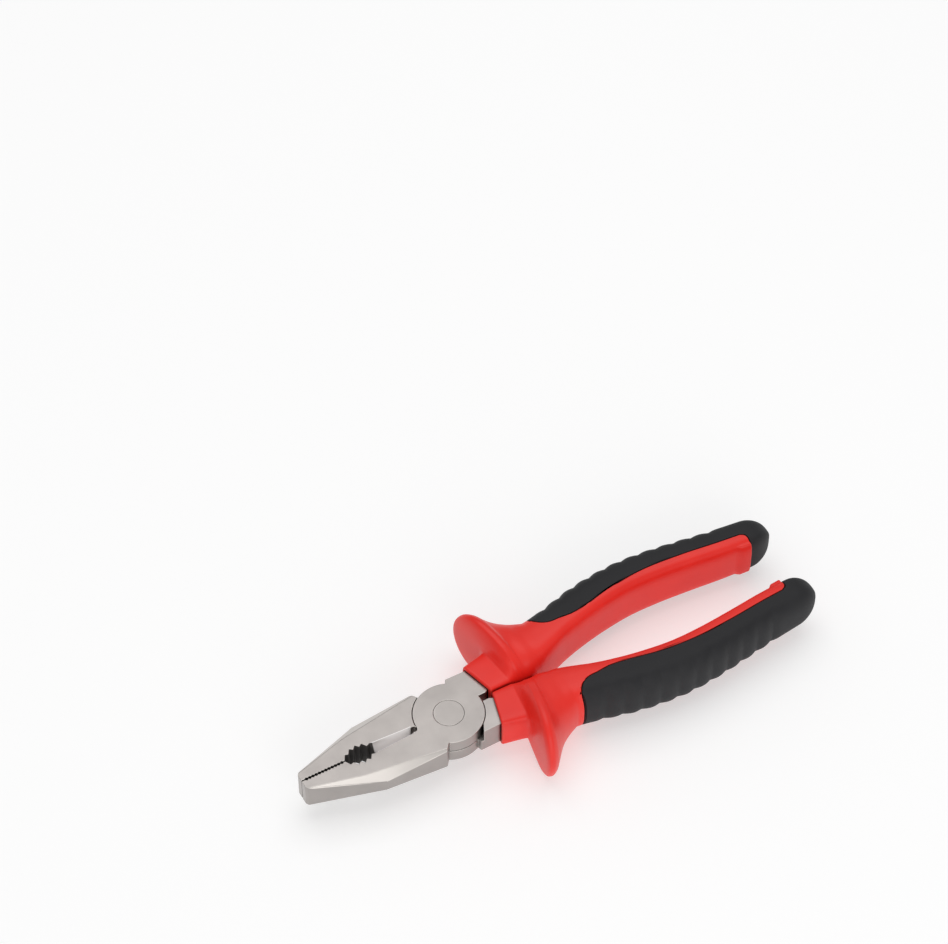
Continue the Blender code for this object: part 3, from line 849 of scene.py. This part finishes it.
def red_plastic():
    """Glossy moulded sleeve: a little orange peel, fine grain, edges that have lost some colour and painted
    shade in its corners.
    """
    material, tree, shader = new_material(
        "sleeve_red_plastic", Coat_Weight=0.06, Coat_Roughness=0.22, Specular_IOR_Level=0.36
    )
    clouds = noise(tree, 55.0, 3.0)
    peel = noise(tree, 420.0, 2.0)
    grain = noise(tree, 3600.0, 2.0)
    scuffs = noise(tree, 300.0, 5.0, stretch=(0.35, 5.0, 5.0))
    edges = edge_share(tree, 0.6)
    cloudy = remap(tree, clouds, 0.35, 0.65, 0.0, 1.0)
    base = mix(tree, cloudy, colour(0.84, 0.022, 0.014), colour(0.90, 0.029, 0.019))
    base = mix(tree, calculate(tree, "MULTIPLY", edges, 0.35), base, colour(0.95, 0.16, 0.11))
    # Painted shade: the red is darkened in corners and crevices, where ambient occlusion is low.
    corner_painted_shade = remap(tree, open_share(tree, 2.0), 0.10, 0.65, 0.75, 0.0)
    base_with_painted_light = mix(tree, corner_painted_shade, base, colour(0.16, 0.008, 0.006))
    tree.links.new(base_with_painted_light, shader.inputs["Base Color"])
    rough = remap(tree, clouds, 0.3, 0.7, 0.36, 0.44)
    rough = calculate(tree, "ADD", rough, remap(tree, scuffs, 0.55, 0.75, 0.0, 0.10))
    tree.links.new(rough, shader.inputs["Roughness"])
    bump(tree, shader, (peel, 0.020, 0.35), (grain, 0.008, 0.35), (scuffs, 0.006, 0.2))
    return material


def black_rubber():
    """Soft matt grip: a fine stipple, dusty high spots and a little wear on the ribs."""
    material, tree, shader = new_material("grip_black_rubber", Specular_IOR_Level=0.35)
    clouds = noise(tree, 70.0, 4.0)
    grain = noise(tree, 2600.0, 3.0)
    place = add(tree, "TexCoord").outputs["Object"]
    stipple = add(tree, "TexVoronoi", Vector=place, Scale=1900.0).outputs["Distance"]
    edges = edge_share(tree, 0.6)
    cloudy = remap(tree, clouds, 0.35, 0.65, 0.0, 1.0)
    base = mix(tree, cloudy, colour(0.012, 0.012, 0.014), colour(0.019, 0.019, 0.021))
    base = mix(tree, calculate(tree, "MULTIPLY", edges, 0.4), base, colour(0.075, 0.075, 0.078))
    tree.links.new(base, shader.inputs["Base Color"])
    rough = remap(tree, clouds, 0.3, 0.7, 0.58, 0.70)
    rough = calculate(tree, "ADD", rough, remap(tree, grain, 0.3, 0.7, -0.03, 0.03))
    tree.links.new(rough, shader.inputs["Roughness"])
    bump(tree, shader, (stipple, 0.05, 0.45), (grain, 0.02, 0.4))
    return material


# Assembly

def add_piece(name, mesh, material, body, node, turned_over=False):
    """A fine piece that stands for a CAD node and rides on its body. turned_over is half a turn about X."""
    if not mesh.materials:
        mesh.materials.append(material)
    item = bpy.data.objects.new(name, mesh)
    bpy.context.scene.collection.objects.link(item)
    turn = Matrix.Rotation(math.pi, 4, "X") if turned_over else Matrix.Identity(4)
    item.matrix_world = Matrix.Translation(PIVOT) @ turn
    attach(item, body)
    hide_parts(node)


def build_pieces():
    steel = satin_nickel("lever_satin_nickel", colour(0.415, 0.385, 0.368), colour(0.58, 0.545, 0.515))
    rivet_steel = satin_nickel("rivet_satin_nickel", colour(0.405, 0.377, 0.360), colour(0.57, 0.535, 0.505))
    red = red_plastic()
    black = black_rubber()
    lever = finished(lever_form(), STEEL_EDGE, SHARP_STEEL)
    sleeve = finished(sleeve_form(), MOULDED_EDGE, SHARP_MOULDED, weld=MOULDED_WELD)
    grip = finished(grip_form(), MOULDED_EDGE, SHARP_MOULDED, weld=MOULDED_WELD)
    rivet_form = turned("rivet", rivet_profile(0.0, RIVET_TOP), ROUND_SEGMENTS)
    rivet = finished(rivet_form, RIVET_EDGE, SHARP_STEEL)
    add_piece("fine_lever_front", lever, steel, "front_half", "jaw_lever_front")
    add_piece("fine_lever_rear", lever, steel, "rear_half", "jaw_lever_rear", True)
    add_piece("fine_rivet", rivet, rivet_steel, "front_half", "joint_rivet")
    add_piece("fine_sleeve_right", sleeve, red, "front_half", "handle_sleeve_right")
    add_piece("fine_sleeve_left", sleeve, red, "rear_half", "handle_sleeve_left", True)
    add_piece("fine_grip_right", grip, black, "front_half", "grip_right")
    add_piece("fine_grip_left", grip, black, "rear_half", "grip_left", True)
    remove_forms()


# Stage, light and camera

def floor():
    shape = bmesh.new()
    bmesh.ops.create_grid(shape, x_segments=1, y_segments=1, size=3.0)
    mesh = bpy.data.meshes.new("floor")
    shape.to_mesh(mesh)
    shape.free()
    material, _, shader = new_material("pale_floor", Roughness=0.85)
    shader.inputs["Base Color"].default_value = colour(FLOOR_GREY, FLOOR_GREY, FLOOR_GREY)
    shader.inputs["Emission Color"].default_value = colour(1.0, 1.0, 1.0)
    shader.inputs["Emission Strength"].default_value = FLOOR_GLOW
    mesh.materials.append(material)
    item = bpy.data.objects.new("floor", mesh)
    bpy.context.scene.collection.objects.link(item)


def area_light(name, towards, distance, size, power):
    """A square soft box that faces the object from a direction."""
    lamp = bpy.data.lights.new(name, "AREA")
    lamp.shape = "SQUARE"
    lamp.size = size
    lamp.energy = power
    item = bpy.data.objects.new(name, lamp)
    direction = Vector(towards).normalized()
    item.location = direction * distance
    item.rotation_mode = "QUATERNION"
    item.rotation_quaternion = direction.to_track_quat("Z", "Y")
    bpy.context.scene.collection.objects.link(item)


def lights():
    world = bpy.data.worlds.new("studio")
    world.use_nodes = True
    background = world.node_tree.nodes["Background"]
    background.inputs["Color"].default_value = colour(1.0, 1.0, 1.0)
    background.inputs["Strength"].default_value = SKY_STRENGTH
    bpy.context.scene.world = world
    area_light("overhead", (0.1, 0.2, 1.0), distance=1.6, size=1.5, power=10.0)
    area_light("front_low", (-0.25, -1.0, 0.42), distance=1.3, size=0.9, power=4.2)


def camera():
    """Looks down from the front left. The object is right of and below the middle of the frame."""
    data = bpy.data.cameras.new("camera")
    item = bpy.data.objects.new("camera", data)
    bpy.context.scene.collection.objects.link(item)
    around, above = CAMERA_AZIMUTH, CAMERA_ELEVATION
    back = Vector((math.sin(around) * math.cos(above), -math.cos(around) * math.cos(above), math.sin(above)))
    right = Vector((math.cos(around), math.sin(around), 0.0))
    up = back.cross(right)
    low, high = CAD_BOX
    centre = (low + high) / 2
    item.location = centre + back * CAMERA_DISTANCE
    aim = centre + (right * AIM_RIGHT + up * AIM_UP) * MM
    item.rotation_mode = "QUATERNION"
    item.rotation_quaternion = (item.location - aim).to_track_quat("Z", "Y")
    data.lens = data.sensor_width * CAMERA_DISTANCE / (FRAME_WIDTH * MM)
    bpy.context.scene.camera = item


build_pieces()
floor()
lights()
camera()
bpy.context.scene.view_settings.view_transform = "Standard"
